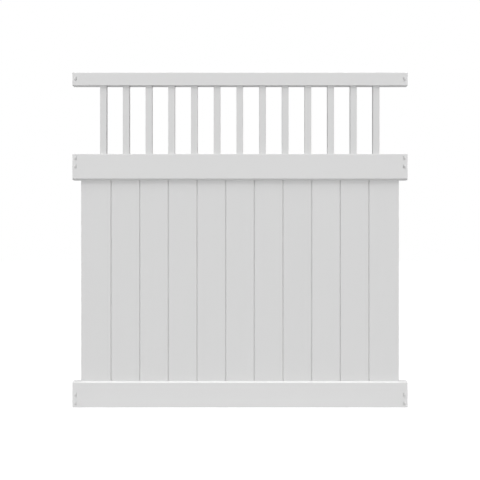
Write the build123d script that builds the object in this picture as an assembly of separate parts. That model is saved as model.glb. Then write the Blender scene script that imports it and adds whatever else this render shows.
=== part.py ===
from build123d import *
import os

# A vinyl fence panel: tall boards between a bottom rail and a mid rail, with an open row of
# balusters between the mid rail and a top rail. Every piece is a hollow PVC extrusion.
# Lengths are in millimetres. X runs along the panel, Y through it with the front at -Y, Z is up.
# The origin is on the underside of the bottom rail, at its middle.

# Rails, open at both ends
rail_length = 1778.0
rail_wall = 2.5
rail_corner_radius = 2.5
top_rail_height = 68.8

# Pocket rails: the bottom rail, and the mid rail, which is the same extrusion turned over.
# Their height is to the sharp corners of the pocket lips, before these are rounded.
pocket_rail_height = 139.7
shoulder_height = 9.0
pocket_depth = 30.0
lip_radius = 1.5

# Boards, with a tongue along the right edge and a groove along the left one
board_length = 1124.9
board_cover = 152.4
board_thickness = 22.2
board_wall = 1.4
board_web_count = 3
board_vee = 2.5
tongue_thickness = 8.0
tongue_length = 8.0

# Outer edges of the two end boards, which are plain, and the rail left bare beyond them
end_board_extra = 8.0
end_board_chamfer = 0.8
rail_end_bare = 40.0

# Balusters, square tubes in evenly spaced holes, each pushed to the left side of its holes
baluster_length = 536.4
baluster_width = 35.0
baluster_wall = 1.8
baluster_corner_radius = 2.5
baluster_pitch = 120.8
baluster_end_space = 150.0

# Locking lugs: half domes punched out of the rail faces, each with a slit along its raised edge
lug_width = 21.0
lug_proud = 3.0
lug_from_end = 18.5
lug_slit = 3.0
lug_edge_distance = 22.0
lug_pitch = 45.0

# Clearances and room between the pieces
board_fit = 1.6
tongue_fit = 0.4
joint_gap = 2.2
baluster_fit = 1.2
baluster_play = 2.2
baluster_side_room = 5.4
cutter_overrun = 1.0

# Sizes and heights that follow from those above
rail_depth = baluster_width + 2 * (baluster_side_room + rail_wall)
pocket_width = board_thickness + 2 * board_fit
groove_thickness = tongue_thickness + 2 * tongue_fit
groove_depth = tongue_length + tongue_fit
board_base = pocket_rail_height - pocket_depth
mid_rail_base = board_base + board_length - pocket_depth
mid_rail_top = mid_rail_base + pocket_rail_height
baluster_base = mid_rail_base + pocket_depth + rail_wall
top_rail_top = baluster_base + baluster_length + rail_wall
top_rail_base = top_rail_top - top_rail_height
board_count = int((rail_length - 2 * rail_end_bare) // board_cover)
baluster_count = int((rail_length - 2 * baluster_end_space) // baluster_pitch) + 1


def spread(count, pitch):
    """Places along X of a row of pieces, centred on the panel."""
    return [(number - (count - 1) / 2) * pitch for number in range(count)]


def tube_section(width, height, radius, wall):
    """A hollow rectangle with rounded outer corners."""
    return RectangleRounded(width, height, radius) - Rectangle(width - 2 * wall, height - 2 * wall)


def pocket_rail_section():
    """Section of a pocket rail, flat edge on the X axis: sloped shoulders end in round pocket lips."""
    side = rail_depth / 2
    lip = pocket_width / 2
    shoulder = pocket_rail_height - shoulder_height
    outline = Polygon(
        (-side, 0),
        (side, 0),
        (side, shoulder),
        (lip, pocket_rail_height),
        (-lip, pocket_rail_height),
        (-side, shoulder),
        align=None,
    )
    cavity = offset(outline, -rail_wall, kind=Kind.INTERSECTION)
    side_corners = outline.vertices().filter_by(lambda corner: abs(corner.X) > (side + lip) / 2)
    body = fillet(side_corners, rail_corner_radius)
    mouth = Pos(0, pocket_rail_height)
    hang = (Align.CENTER, Align.MAX)
    liner = mouth * Rectangle(pocket_width + 2 * rail_wall, pocket_depth + rail_wall, align=hang)
    pocket = mouth * Rectangle(pocket_width, pocket_depth, align=hang)
    section = body - cavity + (liner & body) - pocket
    lips = section.vertices().filter_by(lambda corner: corner.Y > pocket_rail_height - lip_radius)
    return fillet(lips, lip_radius)


def rail_bar(section):
    """A rail of the given section, centred along X."""
    return extrude(Plane.YZ * section, rail_length / 2, both=True)


def lug():
    """A half dome on the front face at the left end of a rail, level with the origin."""
    edge = lug_from_end - rail_length / 2
    face = -rail_depth / 2
    radius = (lug_width**2 / 4 + lug_proud**2) / (2 * lug_proud)
    ball = Pos(edge, face - lug_proud + radius, 0) * Sphere(radius)
    keep = Box(lug_width / 2, lug_proud + rail_wall, lug_width, align=(Align.MAX, Align.MIN, Align.CENTER))
    return ball & (Pos(edge, face - lug_proud, 0) * keep)


def lug_slit_cutter():
    """Cuts the wall open beside the raised edge of the lug."""
    edge = lug_from_end - rail_length / 2
    face = -rail_depth / 2
    reach = rail_wall + 2 * cutter_overrun
    cutter = Box(lug_slit, reach, lug_width, align=(Align.MIN, Align.MIN, Align.CENTER))
    return Pos(edge, face - cutter_overrun, 0) * cutter


def at_ends_and_faces(shape):
    """The shape at both ends of a rail, on its front and back faces."""
    front = [shape, mirror(shape, Plane.YZ)]
    back = [mirror(copy, Plane.XZ) for copy in front]
    return front + back


def with_lugs(rail, heights):
    """A rail with lugs at both ends and on both faces, at the given heights."""
    for height in heights:
        level = Pos(0, 0, height)
        rail += [level * shape for shape in at_ends_and_faces(lug())]
        rail -= [level * shape for shape in at_ends_and_faces(lug_slit_cutter())]
    return rail


def baluster_holes(wall_middle):
    """Cutters for the routed holes that the balusters pass through, in a wall at the given height."""
    width = baluster_width + 2 * baluster_fit + baluster_play
    depth = baluster_width + 2 * baluster_fit
    cutter = Box(width, depth, rail_wall + 2 * cutter_overrun)
    return [Pos(place, 0, wall_middle) * cutter for place in spread(baluster_count, baluster_pitch)]


def pocket_rail():
    """The pocket rail as the bottom rail uses it, pocket up."""
    return with_lugs(rail_bar(pocket_rail_section()), [lug_edge_distance, lug_edge_distance + lug_pitch])


def mid_rail():
    """The pocket rail turned over, with routed holes in its flat edge."""
    rail = Pos(0, 0, mid_rail_top) * Rot(180, 0, 0) * pocket_rail()
    return rail - baluster_holes(mid_rail_top - rail_wall / 2)


def top_rail():
    """A plain tube with routed holes in its underside."""
    section = tube_section(rail_depth, top_rail_height, rail_corner_radius, rail_wall)
    tube = with_lugs(rail_bar(section), [0])
    rail = Pos(0, 0, top_rail_base + top_rail_height / 2) * tube
    return rail - baluster_holes(top_rail_base + rail_wall / 2)


def tongue_edge(shoulder):
    """Right edge of a board from front to back, with a tongue."""
    face = board_thickness / 2
    half = tongue_thickness / 2
    tip = shoulder + tongue_length
    front = [(shoulder - board_vee, -face), (shoulder, board_vee - face), (shoulder, -half), (tip, -half)]
    return front + [(x, -y) for x, y in reversed(front)]


def groove_edge(shoulder):
    """Left edge of a board from back to front, with a groove."""
    face = board_thickness / 2
    half = groove_thickness / 2
    bottom = shoulder + groove_depth
    back = [(shoulder + board_vee, face), (shoulder, face - board_vee), (shoulder, half), (bottom, half)]
    return back + [(x, -y) for x, y in reversed(back)]


def plain_edge(place, outward):
    """Outer edge of an end board: from front to back on the right, from back to front on the left."""
    face = board_thickness / 2
    cut = end_board_chamfer
    start = [(place - outward * cut, -outward * face), (place, outward * (cut - face))]
    return start + [(x, -y) for x, y in reversed(start)]


def board(number, place):
    """One board of the row, a hollow extrusion with inner webs, standing in the bottom pocket."""
    left = place - board_cover / 2 + joint_gap / 2
    right = place + board_cover / 2 - joint_gap / 2
    left_points = plain_edge(left - end_board_extra, -1) if number == 1 else groove_edge(left)
    right_points = plain_edge(right + end_board_extra, 1) if number == board_count else tongue_edge(right)
    outline = Polygon(*right_points, *left_points, align=None)
    cavity = offset(outline, -board_wall, kind=Kind.INTERSECTION)
    web_pitch = board_cover / (board_web_count + 1)
    for web_place in spread(board_web_count, web_pitch):
        cavity -= Pos(place + web_place, 0) * Rectangle(board_wall, board_thickness)
    return Pos(0, 0, board_base) * extrude(outline - cavity, board_length)


def baluster(place):
    """A square tube in the holes at the given place, from the mid rail's floor to the top rail's inside."""
    section = tube_section(baluster_width, baluster_width, baluster_corner_radius, baluster_wall)
    return Pos(place - baluster_play / 2, 0, baluster_base) * extrude(section, baluster_length)


pieces = {"bottom_rail": pocket_rail(), "mid_rail": mid_rail(), "top_rail": top_rail()}
for number, place in enumerate(spread(board_count, board_cover), 1):
    pieces[f"board_{number:02d}"] = board(number, place)
for number, place in enumerate(spread(baluster_count, baluster_pitch), 1):
    pieces[f"baluster_{number:02d}"] = baluster(place)

os.makedirs("parts", exist_ok=True)
for name, shape in pieces.items():
    export_step(shape, f"parts/{name}.step")
print(f"{len(pieces)} pieces: {rail_length:.1f} wide, {top_rail_top:.1f} tall, rails {rail_depth:.1f} deep")
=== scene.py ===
# %% [markdown]
# # A white vinyl fence panel
# The panel is an assembly of hollow vinyl extrusions: three rails, a row of tongue-and-groove boards
# and a row of square balusters. The CAD model already fixes every size and place, so this lesson is
# about looks. It keeps the rails as they are, remakes the two rows with softened edges, gives every
# piece a vinyl finish, and sets up the floor, the light and the camera of a catalogue picture.

# %% Load the fixed frame
import math
import bpy
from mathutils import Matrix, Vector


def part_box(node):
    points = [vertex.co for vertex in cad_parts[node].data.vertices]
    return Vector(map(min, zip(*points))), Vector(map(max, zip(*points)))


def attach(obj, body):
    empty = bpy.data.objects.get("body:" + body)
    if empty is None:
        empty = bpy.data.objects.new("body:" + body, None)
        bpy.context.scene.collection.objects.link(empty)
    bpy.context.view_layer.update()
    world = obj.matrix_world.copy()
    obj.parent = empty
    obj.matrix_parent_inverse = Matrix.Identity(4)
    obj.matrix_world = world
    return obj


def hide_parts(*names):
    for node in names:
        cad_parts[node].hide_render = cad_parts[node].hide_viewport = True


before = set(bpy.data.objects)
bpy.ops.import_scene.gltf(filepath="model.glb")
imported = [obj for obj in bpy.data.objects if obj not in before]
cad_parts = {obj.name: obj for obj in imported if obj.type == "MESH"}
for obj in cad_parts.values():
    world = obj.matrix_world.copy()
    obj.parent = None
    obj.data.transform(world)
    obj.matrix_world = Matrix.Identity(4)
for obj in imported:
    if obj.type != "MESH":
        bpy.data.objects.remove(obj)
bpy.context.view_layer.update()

# %% [markdown]
# Reading the sizes from there keeps the new pieces where the CAD pieces are. Only the small
# shapes inside a section, which a box can't show, are written down again here.

# %% Names and sizes from the frame
mm = 0.001
rails = ["bottom_rail", "mid_rail", "top_rail"]
boards = sorted(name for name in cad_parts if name.startswith("board_"))
balusters = sorted(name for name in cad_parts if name.startswith("baluster_"))


def middle_and_size(node):
    """The middle and the size of a node's box."""
    low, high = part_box(node)
    return (low + high) / 2, high - low


rail_half = middle_and_size("top_rail")[1].x / 2
panel_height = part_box("top_rail")[1].z
print(len(rails), "rails,", len(boards), "boards,", len(balusters), "balusters; panel",
      round(2 * rail_half, 4), "wide and", round(panel_height, 4), "tall")

# %% [markdown]
# Node trees are used for the finishes and for the two rows. Clicking nodes together is fine by hand,
# but in a script a sum should look like a sum. So one small class wraps an output socket and turns
# `+`, `-`, `*` and `>` into Math nodes, and one method makes any other node: its settings come first,
# then the values or links of its sockets.

# %% A small kit for node trees
class Value:
    """An output socket. Sums on it add Math nodes to its tree."""

    def __init__(self, kit, node, output=0):
        self.kit = kit
        self.socket = node.outputs[output]

    def __add__(self, other):
        return self.kit.maths("ADD", self, other)

    def __sub__(self, other):
        return self.kit.maths("SUBTRACT", self, other)

    def __rsub__(self, other):
        return self.kit.maths("SUBTRACT", other, self)

    def __mul__(self, other):
        return self.kit.maths("MULTIPLY", self, other)

    def __gt__(self, other):
        return self.kit.maths("GREATER_THAN", self, other)

    __radd__ = __add__
    __rmul__ = __mul__


class Kit:
    """Adds nodes to one shader or geometry tree."""

    def __init__(self, tree):
        self.tree = tree

    def node(self, kind, settings=None, sockets=None, output=0):
        """One node: its settings first, then a value, a link or a list of links for each socket."""
        node = self.tree.nodes.new(kind)
        for name, value in (settings or {}).items():
            setattr(node, name, value)
        for name, value in (sockets or {}).items():
            self.feed(node.inputs[name], value)
        return Value(self, node, output) if node.outputs else None

    def feed(self, socket, value):
        """Gives a socket its plain value or its links."""
        for one in value if isinstance(value, list) else [value]:
            if isinstance(one, Value):
                self.tree.links.new(one.socket, socket)
            else:
                socket.default_value = one

    def maths(self, operation, first, second=0.0):
        """One Math node."""
        return self.node("ShaderNodeMath", {"operation": operation}, {0: first, 1: second})


print("node kit ready")

# %% [markdown]
# ## The finish
# White vinyl is a dense, slightly satin plastic. Its colour is nearly even, but an extrusion is never
# perfectly flat: the die leaves faint lines along the length, the skin has a fine orange peel, and
# the gloss drifts a little. An image could carry that, but noise in Object coordinates has no seams
# and stays sharp in a close-up. The lines are noise stretched along the way the piece was extruded.

# %% Noise patterns for vinyl
# waves a metre: along and across the extrusion, or the same every way
die_waves = (3.0, 650.0)
drift_waves = (1.5, 30.0)
cloud_waves = (2.6, 2.6, 2.6)
peel_waves = (900.0, 900.0, 900.0)


def noise(kit, place, stretch, detail=2.0):
    """Noise from 0 to 1, with so many waves a metre along each axis."""
    spread = kit.node("ShaderNodeVectorMath", {"operation": "MULTIPLY"}, {0: place, 1: stretch})
    return kit.node("ShaderNodeTexNoise", None, {"Vector": spread, "Scale": 1.0, "Detail": detail})


def along_axis(axis, along, across):
    """Waves a metre for a pattern stretched along one axis."""
    return tuple(along if letter == axis else across for letter in "XYZ")


print("die lines along X, waves a metre:", along_axis("X", *die_waves))

# %% [markdown]
# Two more marks belong to single pieces. The thin inner webs of a board pull its face in by a hair as
# the plastic cools, so each web can be felt as a shallow line. And a rail's ends are sawn, which
# leaves them duller than the skin, with the marks of the blade. Those are shells about one point near
# the right ends: there they show as fine arcs, and at the left ends, far from it, as broader ones.

# %% Marks of webs and saw
sink_half_width = 6 * mm
saw_reach = 0.5 * mm
blade_side = -0.16
blade_height = 0.6
blade_marks = 4200.0
end_facing = 0.9


def sink_lines(kit, place, pitch, half_width):
    """1 on lines a pitch apart along X, falling to 0 at the half width."""
    across = kit.node("ShaderNodeSeparateXYZ", None, {0: place}, "X")
    from_line = kit.maths("PINGPONG", across, pitch / 2)
    nearness = 1.0 - kit.maths("MINIMUM", from_line * (1 / half_width), 1.0)
    return nearness * nearness * (3.0 - 2.0 * nearness)


def sawn_ends(kit, place, end):
    """1 on faces that look along X at a rail's ends, and the marks that the saw left there."""
    along = kit.node("ShaderNodeSeparateXYZ", None, {0: place})
    facing = kit.node("ShaderNodeSeparateXYZ", None, {0: kit.node("ShaderNodeTexCoord", output="Normal")})
    faces_along = kit.maths("ABSOLUTE", facing) > end_facing
    at_end = kit.maths("ABSOLUTE", along) > end - saw_reach
    from_blade = kit.node("ShaderNodeVectorMath", {"operation": "DISTANCE"},
                          {0: place, 1: (end, blade_side, blade_height)}, "Value")
    return faces_along * at_end, kit.maths("SINE", from_blade * blade_marks)


print("saw marks are", round(2 * math.pi / blade_marks / mm, 2), "mm apart")

# %% [markdown]
# The finish puts these together. Lightness mixes two whites that are hardly apart. A single piece can
# have its own tone, kept on its mesh as an attribute, which also moves its pattern so that no two
# boards carry the same lines. The height of all marks goes into one Bump node.

# %% The vinyl finish
white_spread = 0.015
bump_depth = 1.0 * mm
skin_roughness = 0.44
vinyl_ior = 1.53
vinyl_specular = 0.3


def vinyl(name, shade, axis, tone="", web_pitch=0.0, end=0.0):
    """White vinyl extruded along an axis; a named attribute can shift the tone of single pieces."""
    material = bpy.data.materials.new(name)
    material.use_nodes = True
    kit = Kit(material.node_tree)
    place = kit.node("ShaderNodeTexCoord", output="Object")
    pattern_place = place
    lightness = 0.5 * noise(kit, place, cloud_waves)
    if tone:
        piece_tone = kit.node("ShaderNodeAttribute", {"attribute_name": tone}, output="Fac")
        lightness = lightness + 0.35 * piece_tone
        own_shift = kit.node("ShaderNodeCombineXYZ", None, {0: piece_tone, 1: piece_tone, 2: piece_tone})
        pattern_place = kit.node("ShaderNodeVectorMath", {"operation": "ADD"}, {0: place, 1: own_shift})
    die_lines = noise(kit, pattern_place, along_axis(axis, *die_waves))
    peel = noise(kit, pattern_place, peel_waves, 1.0)
    drift = noise(kit, pattern_place, along_axis(axis, *drift_waves))
    lightness = lightness + 0.15 * die_lines
    height = 0.035 * die_lines + 0.02 * peel
    roughness = skin_roughness + 0.10 * drift + 0.05 * die_lines
    if web_pitch:
        height = height - 0.06 * sink_lines(kit, place, web_pitch, sink_half_width)
    if end:
        sawn, saw_marks = sawn_ends(kit, place, end)
        height = height + 0.05 * (sawn * saw_marks)
        roughness = roughness + 0.22 * sawn
    dark = (shade * (1 - white_spread),) * 3 + (1.0,)
    light = (shade * (1 + white_spread),) * 3 + (1.0,)
    colour = kit.node("ShaderNodeMix", {"data_type": "RGBA"}, {0: lightness, 6: dark, 7: light}, 2)
    bump = kit.node("ShaderNodeBump", None, {"Distance": bump_depth, "Height": height})
    shader = material.node_tree.nodes["Principled BSDF"]
    kit.feed(shader.inputs["Base Color"], colour)
    kit.feed(shader.inputs["Roughness"], roughness)
    kit.feed(shader.inputs["Normal"], bump)
    shader.inputs["IOR"].default_value = vinyl_ior
    shader.inputs["Specular IOR Level"].default_value = vinyl_specular
    print(name, "has", len(kit.tree.nodes), "nodes")
    return material


# %% [markdown]
# ## The rails
# The rails are the part of the panel that the CAD model already shows to the last corner: rounded
# edges, sloped shoulders, the pocket, the routed holes and the punched lugs. A remake would only
# repeat them, so the three nodes stay and take the finish, with die lines along X.

# %% Finish the rails
rail_shade = 0.76
rail_vinyl = vinyl("rail_vinyl", rail_shade, "X", end=rail_half)
for rail in rails:
    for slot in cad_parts[rail].material_slots:
        slot.material = rail_vinyl
    print(rail, "has", len(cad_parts[rail].data.polygons), "faces and takes", rail_vinyl.name)

# %% [markdown]
# ## The board row
# A board is one hollow extrusion with a tongue along one edge and a groove along the other. Where two
# meet, their chamfers make the V-joint that shows as a line. All eleven share one rule, so Geometry
# Nodes make the row: three outlines go in (the left end, the middle boards, the right end), get their
# corners rounded, are filled and pulled up to length, and are set along a line at the cover width.
# Modelling a board and copying it would work too, but here a change of one size remakes the row.

# %% Section of a board
board_vee = 2.5 * mm
joint_gap = 2.2 * mm
tongue_thickness = 8.0 * mm
tongue_length = 8.0 * mm
tongue_fit = 0.4 * mm
end_board_extra = 8.0 * mm
soft_edge = 0.7 * mm
inner_edge = 0.4 * mm
end_edge = 1.0 * mm

board_middle, board_size = middle_and_size(boards[len(boards) // 2])
board_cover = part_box(boards[2])[0].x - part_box(boards[1])[0].x
board_face = board_size.y / 2
board_edge = (board_cover - joint_gap) / 2


def there_and_back(corners):
    """The corners of an edge from its front to its middle, then the same from the middle to the back."""
    return corners + [(x, -y, rounding) for x, y, rounding in reversed(corners)]


def tongue_edge():
    """Right edge of a board, front to back, each corner with its rounding."""
    half = tongue_thickness / 2
    return there_and_back([
        (board_edge - board_vee, -board_face, soft_edge),
        (board_edge, board_vee - board_face, inner_edge),
        (board_edge, -half, inner_edge),
        (board_edge + tongue_length, -half, soft_edge),
    ])


def groove_edge():
    """Left edge of a board, front to back."""
    half = tongue_thickness / 2 + tongue_fit
    return there_and_back([
        (board_vee - board_edge, -board_face, soft_edge),
        (-board_edge, board_vee - board_face, inner_edge),
        (-board_edge, -half, inner_edge),
        (-board_edge + tongue_length + tongue_fit, -half, inner_edge),
    ])


def plain_edge(side):
    """Outer edge of an end board, front to back; the side is -1 on the left and 1 on the right."""
    return there_and_back([(side * (board_edge + end_board_extra), -board_face, end_edge)])


board_outlines = [
    tongue_edge() + plain_edge(-1)[::-1],
    tongue_edge() + groove_edge()[::-1],
    plain_edge(1) + groove_edge()[::-1],
]
print("corners in the three board outlines:", [len(outline) for outline in board_outlines])

# %% [markdown]
# The outlines reach the node tree as the mesh of the row's own object: corners and edges only. Two
# attributes ride on the corners: which outline a corner belongs to, and how far it is rounded.

# %% Outlines as a mesh of edges
def outline_mesh(name, outlines):
    """A mesh of closed outlines, with the outline's number and the rounding kept on each corner."""
    points, edges, kinds, roundings = [], [], [], []
    for kind, outline in enumerate(outlines):
        first = len(points)
        for step, (x, y, rounding) in enumerate(outline):
            points.append((x, y, 0.0))
            edges.append((first + step, first + (step + 1) % len(outline)))
            kinds.append(kind)
            roundings.append(rounding)
    mesh = bpy.data.meshes.new(name)
    mesh.from_pydata(points, edges, [])
    mesh.attributes.new("outline", "INT", "POINT").data.foreach_set("value", kinds)
    mesh.attributes.new("rounding", "FLOAT", "POINT").data.foreach_set("value", roundings)
    return mesh


board_start = outline_mesh("board_outlines", board_outlines)
print("outline mesh:", len(board_start.vertices), "corners,", len(board_start.edges), "edges")

# %% [markdown]
# Both rows need the same few steps, so they are helpers. A filled outline pulled up with Extrude Mesh
# has no bottom, so a flipped copy of the fill closes it. Wide faces must stay flat while the rounded
# edges shade smoothly: edges sharper than 30 degrees are marked, and a Weighted Normal modifier lets
# the large faces decide the shading along their borders.

# %% Steps that both rows share
merge_distance = 0.01 * mm
sharp_angle = math.radians(30)


def new_tree(name, inputs):
    """A geometry tree with a mesh going through it and named inputs, and its group input node."""
    tree = bpy.data.node_groups.new(name, "GeometryNodeTree")
    tree.interface.new_socket("Geometry", in_out="INPUT", socket_type="NodeSocketGeometry")
    tree.interface.new_socket("Geometry", in_out="OUTPUT", socket_type="NodeSocketGeometry")
    for label, kind in inputs.items():
        tree.interface.new_socket(label, in_out="INPUT", socket_type=kind)
    kit = Kit(tree)
    source = tree.nodes.new("NodeGroupInput")
    return kit, {socket.name: Value(kit, source, socket.name) for socket in source.outputs if socket.name}


def pulled_up(kit, curve, length):
    """Closed curves in the XY plane, filled and pulled up to a closed solid."""
    fill = kit.node("GeometryNodeFillCurve", {"mode": "NGONS"}, {"Curve": curve})
    upward = kit.node("ShaderNodeCombineXYZ", None, {"Z": length})
    walls = kit.node("GeometryNodeExtrudeMesh", {"mode": "FACES"},
                     {"Mesh": fill, "Offset": upward, "Offset Scale": 1.0, "Individual": False})
    bottom = kit.node("GeometryNodeFlipFaces", None, {"Mesh": fill})
    both = kit.node("GeometryNodeJoinGeometry", None, {"Geometry": [walls, bottom]})
    return kit.node("GeometryNodeMergeByDistance", None, {"Geometry": both, "Distance": merge_distance})


def row_of_points(kit, count, start, pitch):
    """Points along X, one for each piece of a row."""
    step = kit.node("ShaderNodeCombineXYZ", None, {"X": pitch})
    return kit.node("GeometryNodeMeshLine", {"mode": "OFFSET"},
                    {"Count": count, "Start Location": start, "Offset": step})


def finish_tree(kit, pieces, tone, seed, material):
    """Gives each instance a tone, makes one mesh of them, marks sharp edges and sets the material."""
    chance = kit.node("FunctionNodeRandomValue", {"data_type": "FLOAT"}, {2: 0.0, 3: 1.0, "Seed": seed}, 1)
    toned = kit.node("GeometryNodeStoreNamedAttribute", {"data_type": "FLOAT", "domain": "INSTANCE"},
                     {"Geometry": pieces, "Name": tone, "Value": chance})
    real = kit.node("GeometryNodeRealizeInstances", None, {"Geometry": toned})
    smooth = kit.node("GeometryNodeSetShadeSmooth", {"domain": "FACE"}, {"Geometry": real})
    sharp = kit.node("GeometryNodeInputMeshEdgeAngle") > sharp_angle
    marked = kit.node("GeometryNodeSetShadeSmooth", {"domain": "EDGE"},
                      {"Geometry": smooth, "Selection": sharp, "Shade Smooth": False})
    painted = kit.node("GeometryNodeSetMaterial", None, {"Geometry": marked, "Material": material})
    kit.node("NodeGroupOutput", None, {"Geometry": painted})


def made_row(name, mesh, kit, values):
    """Runs a tree on a mesh and returns its result as an object with a plain mesh."""
    row = bpy.data.objects.new(name, mesh)
    bpy.context.scene.collection.objects.link(row)
    growth = row.modifiers.new("row", "NODES")
    growth.node_group = kit.tree
    for socket in kit.tree.interface.items_tree:
        if socket.in_out == "INPUT" and socket.name in values:
            growth[socket.identifier] = values[socket.name]
    shading = row.modifiers.new("shading", "WEIGHTED_NORMAL")
    shading.keep_sharp = True
    graph = bpy.context.evaluated_depsgraph_get()
    plain = bpy.data.meshes.new_from_object(row.evaluated_get(graph), depsgraph=graph)
    row.modifiers.clear()
    row.data = plain
    plain.name = name
    print(name, "is one mesh of", len(plain.polygons), "faces")
    return row


print("edges sharper than", round(math.degrees(sharp_angle)), "degrees stay sharp")

# %% [markdown]
# In the tree of the board row each of the three outlines becomes one solid. The index of a place in the
# row picks the solid: the left end at the first place, the right end at the last, the middle board at
# all others. The seed keeps the tones of the boards the same on each run.

# %% The board row as a node tree
kit, given = new_tree("board_row", {
    "Board length": "NodeSocketFloat", "Cover": "NodeSocketFloat", "Count": "NodeSocketInt",
    "Start": "NodeSocketVector", "Rounding steps": "NodeSocketInt", "Seed": "NodeSocketInt",
    "Material": "NodeSocketMaterial",
})
places = row_of_points(kit, given["Count"], given["Start"], given["Cover"])
place_number = kit.node("GeometryNodeInputIndex")
is_first = 1 - kit.maths("MINIMUM", place_number, 1.0)
is_last = place_number > given["Count"] - 1.5
chosen_places = [is_first, 1 - is_first - is_last, is_last]
corner_outline = kit.node("GeometryNodeInputNamedAttribute", {"data_type": "INT"}, {"Name": "outline"})
corner_rounding = kit.node("GeometryNodeInputNamedAttribute", {"data_type": "FLOAT"}, {"Name": "rounding"})
instances = []
for kind, chosen in enumerate(chosen_places):
    is_kind = kit.node("FunctionNodeCompare", {"data_type": "INT", "operation": "EQUAL"},
                       {2: corner_outline, 3: kind})
    outline = kit.node("GeometryNodeSeparateGeometry", {"domain": "POINT"},
                       {"Geometry": given["Geometry"], "Selection": is_kind})
    curve = kit.node("GeometryNodeMeshToCurve", None, {"Mesh": outline})
    rounded = kit.node("GeometryNodeFilletCurve", {"mode": "POLY"},
                       {"Curve": curve, "Count": given["Rounding steps"], "Radius": corner_rounding,
                        "Limit Radius": True})
    solid = pulled_up(kit, rounded, given["Board length"])
    instances.append(kit.node("GeometryNodeInstanceOnPoints", None,
                              {"Points": places, "Selection": chosen, "Instance": solid}))
all_boards = kit.node("GeometryNodeJoinGeometry", None, {"Geometry": instances})
finish_tree(kit, all_boards, "board_tone", given["Seed"], given["Material"])
print("board tree has", len(kit.tree.nodes), "nodes")

# %% [markdown]
# The tree is run once and its result kept as a plain mesh. That mesh then stands for the eleven CAD
# boards, which stay hidden in the frame for collision.

# %% Make the board row
board_shade = 0.73
cells_in_board = 4
web_pitch = board_cover / cells_in_board
board_vinyl = vinyl("board_vinyl", board_shade, "Z", tone="board_tone", web_pitch=web_pitch)
board_row = made_row("board_row", board_start, kit, {
    "Board length": board_size.z,
    "Cover": board_cover,
    "Count": len(boards),
    "Start": (-board_cover * (len(boards) - 1) / 2, 0.0, board_middle.z - board_size.z / 2),
    "Rounding steps": 3,
    "Seed": 11,
    "Material": board_vinyl,
})
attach(board_row, "root")
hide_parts(*boards)

# %% [markdown]
# ## The baluster row
# The balusters are square tubes. They pass through routed holes in the mid rail and the top rail, so
# only their sides show. The holes are a little wider than the tubes, and each tube stands at the left
# of its holes. The rule is shorter: a rounded square with a smaller square inside it is filled, pulled
# up and set along a line.

# %% The baluster row as a node tree
kit, given = new_tree("baluster_row", {
    "Baluster length": "NodeSocketFloat", "Width": "NodeSocketFloat", "Wall": "NodeSocketFloat",
    "Corner radius": "NodeSocketFloat", "Pitch": "NodeSocketFloat", "Count": "NodeSocketInt",
    "Start": "NodeSocketVector", "Rounding steps": "NodeSocketInt", "Seed": "NodeSocketInt",
    "Material": "NodeSocketMaterial",
})
hollow_width = given["Width"] - 2 * given["Wall"]
square = kit.node("GeometryNodeCurvePrimitiveQuadrilateral", None,
                  {"Width": given["Width"], "Height": given["Width"]})
hollow = kit.node("GeometryNodeCurvePrimitiveQuadrilateral", None,
                  {"Width": hollow_width, "Height": hollow_width})
rounded = kit.node("GeometryNodeFilletCurve", {"mode": "POLY"},
                   {"Curve": square, "Count": given["Rounding steps"], "Radius": given["Corner radius"]})
section = kit.node("GeometryNodeJoinGeometry", None, {"Geometry": [rounded, hollow]})
tube = pulled_up(kit, section, given["Baluster length"])
places = row_of_points(kit, given["Count"], given["Start"], given["Pitch"])
all_balusters = kit.node("GeometryNodeInstanceOnPoints", None, {"Points": places, "Instance": tube})
finish_tree(kit, all_balusters, "baluster_tone", given["Seed"], given["Material"])
print("baluster tree has", len(kit.tree.nodes), "nodes")

# %% [markdown]
# The row starts at the first CAD baluster, and the pitch is the step to the second. The tubes have no
# inner webs, so their finish has no sink lines.

# %% Make the baluster row
baluster_wall = 1.8 * mm
baluster_corner = 2.5 * mm
baluster_shade = 0.73
first_middle, baluster_size = middle_and_size(balusters[0])
baluster_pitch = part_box(balusters[1])[0].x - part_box(balusters[0])[0].x
baluster_vinyl = vinyl("baluster_vinyl", baluster_shade, "Z", tone="baluster_tone")
baluster_row = made_row("baluster_row", bpy.data.meshes.new("baluster_start"), kit, {
    "Baluster length": baluster_size.z,
    "Width": baluster_size.x,
    "Wall": baluster_wall,
    "Corner radius": baluster_corner,
    "Pitch": baluster_pitch,
    "Count": len(balusters),
    "Start": (first_middle.x, first_middle.y, first_middle.z - baluster_size.z / 2),
    "Rounding steps": 4,
    "Seed": 13,
    "Material": baluster_vinyl,
})
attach(baluster_row, "root")
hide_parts(*balusters)

# %% [markdown]
# ## Floor and light
# A catalogue picture of a white panel has a white ground and still shows the panel's shading, so the
# white must not come from more light. Light Path tells which rays look at the floor and the sky
# directly or in a reflection. Those see white; all others get a plain grey floor and a soft sky.

# %% White only where it is looked at
def looked_at(kit):
    """1 for rays that see a surface directly or in a reflection, 0 for rays that only carry light."""
    seen = [kit.node("ShaderNodeLightPath", output=name)
            for name in ("Is Camera Ray", "Is Glossy Ray", "Is Transmission Ray")]
    return kit.maths("MINIMUM", seen[0] + seen[1] + seen[2], 1.0)


def grey(level):
    """A grey as a colour."""
    return (level, level, level, 1.0)


floor_half = 30.0
floor_bounce = 0.4
floor_shadow = 0.4
floor_glow = 0.71
floor_mesh = bpy.data.meshes.new("floor")
floor_mesh.from_pydata([(-floor_half, -floor_half, 0), (floor_half, -floor_half, 0),
                        (floor_half, floor_half, 0), (-floor_half, floor_half, 0)], [], [(0, 1, 2, 3)])
floor = bpy.data.objects.new("floor", floor_mesh)
bpy.context.scene.collection.objects.link(floor)

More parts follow.
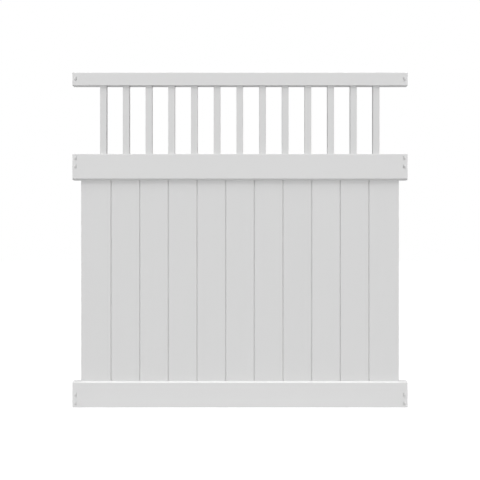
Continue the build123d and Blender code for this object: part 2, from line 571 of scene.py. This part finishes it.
floor_paint = bpy.data.materials.new("pale_floor")
floor_paint.use_nodes = True
floor_paint.node_tree.nodes.clear()
kit = Kit(floor_paint.node_tree)
plain_floor = kit.node("ShaderNodeBsdfDiffuse", None, {"Color": grey(floor_bounce)})
thin_shadow = kit.node("ShaderNodeBsdfDiffuse", None, {"Color": grey(floor_shadow)})
white_glow = kit.node("ShaderNodeEmission", None, {"Color": grey(1.0), "Strength": floor_glow})
white_floor = kit.node("ShaderNodeAddShader", None, {0: thin_shadow, 1: white_glow})
mixed_floor = kit.node("ShaderNodeMixShader", None, {0: looked_at(kit), 1: plain_floor, 2: white_floor})
kit.node("ShaderNodeOutputMaterial", None, {"Surface": mixed_floor})
floor_mesh.materials.append(floor_paint)
print("floor is", 2 * floor_half, "metres square")

# %% [markdown]
# The mid rail shades the tops of the boards softly, and the undersides and the sides of the balusters
# are darker than the faces. A bright sky would wash that out, so lamps carry the light, and the sky is
# a faint glow overhead. A lamp's width softens its shadows. The top lamp and the high lamp are wide and
# stand one above the other, so their two shadows under the rail run together into one long soft shade.
# A pair of front lamps lights the faces from low down. Straight ahead they would shine into the joints
# between the boards, so each is turned a little to its side. The back lamp lights the back.

# %% Sky and lamps
sky_overhead = 0.1
sky_falloff = 4.0
# strength, height and width in degrees, turn about the panel in degrees
lamps = {
    "top_lamp": (0.37, 76.0, 18.0, 0.0),
    "high_lamp": (0.41, 60.0, 18.0, 0.0),
    "front_left_lamp": (0.188, 4.0, 6.0, -12.0),
    "front_right_lamp": (0.188, 4.0, 6.0, 12.0),
    "back_lamp": (0.70, 22.0, 20.0, 180.0),
}

sky = bpy.data.worlds.new("soft_sky")
bpy.context.scene.world = sky
sky.use_nodes = True
sky.node_tree.nodes.clear()
kit = Kit(sky.node_tree)
direction = kit.node("ShaderNodeTexCoord", output="Generated")
upward = kit.node("ShaderNodeSeparateXYZ", None, {0: direction}, "Z")
overhead = kit.maths("POWER", kit.maths("MAXIMUM", upward, 0.0), sky_falloff)
light_level = sky_overhead * overhead
seen_sky = looked_at(kit)
sky_level = seen_sky + (1.0 - seen_sky) * light_level
sky_light = kit.node("ShaderNodeBackground", None, {"Color": grey(1.0), "Strength": sky_level})
kit.node("ShaderNodeOutputWorld", None, {"Surface": sky_light})

for name, (strength, height, width, turn) in lamps.items():
    lamp_data = bpy.data.lights.new(name, "SUN")
    lamp_data.energy = math.pi * strength
    lamp_data.angle = math.radians(width)
    lamp = bpy.data.objects.new(name, lamp_data)
    lamp.rotation_euler = (math.radians(90 - height), 0.0, math.radians(turn))
    bpy.context.scene.collection.objects.link(lamp)
    print(name, "at", height, "degrees")

# %% [markdown]
# ## Camera
# The photograph looks straight at the panel from the middle of its height. The panel's front plane is
# 4.57 m away, near enough that the sides of the outer balusters show.

# %% Camera
camera_distance = 4.572
rail_front = -25.4 * mm
film_width_mm = 36.0
lens_mm = 64.66
camera_data = bpy.data.cameras.new("camera")
camera_data.sensor_width = film_width_mm
camera_data.lens = lens_mm
camera = bpy.data.objects.new("camera", camera_data)
camera.location = (0.0, rail_front - camera_distance, panel_height / 2)
camera.rotation_euler = (math.pi / 2, 0.0, 0.0)
bpy.context.scene.collection.objects.link(camera)
bpy.context.scene.camera = camera
bpy.context.scene.view_settings.view_transform = "Standard"
print("camera at", [round(number, 3) for number in camera.location])
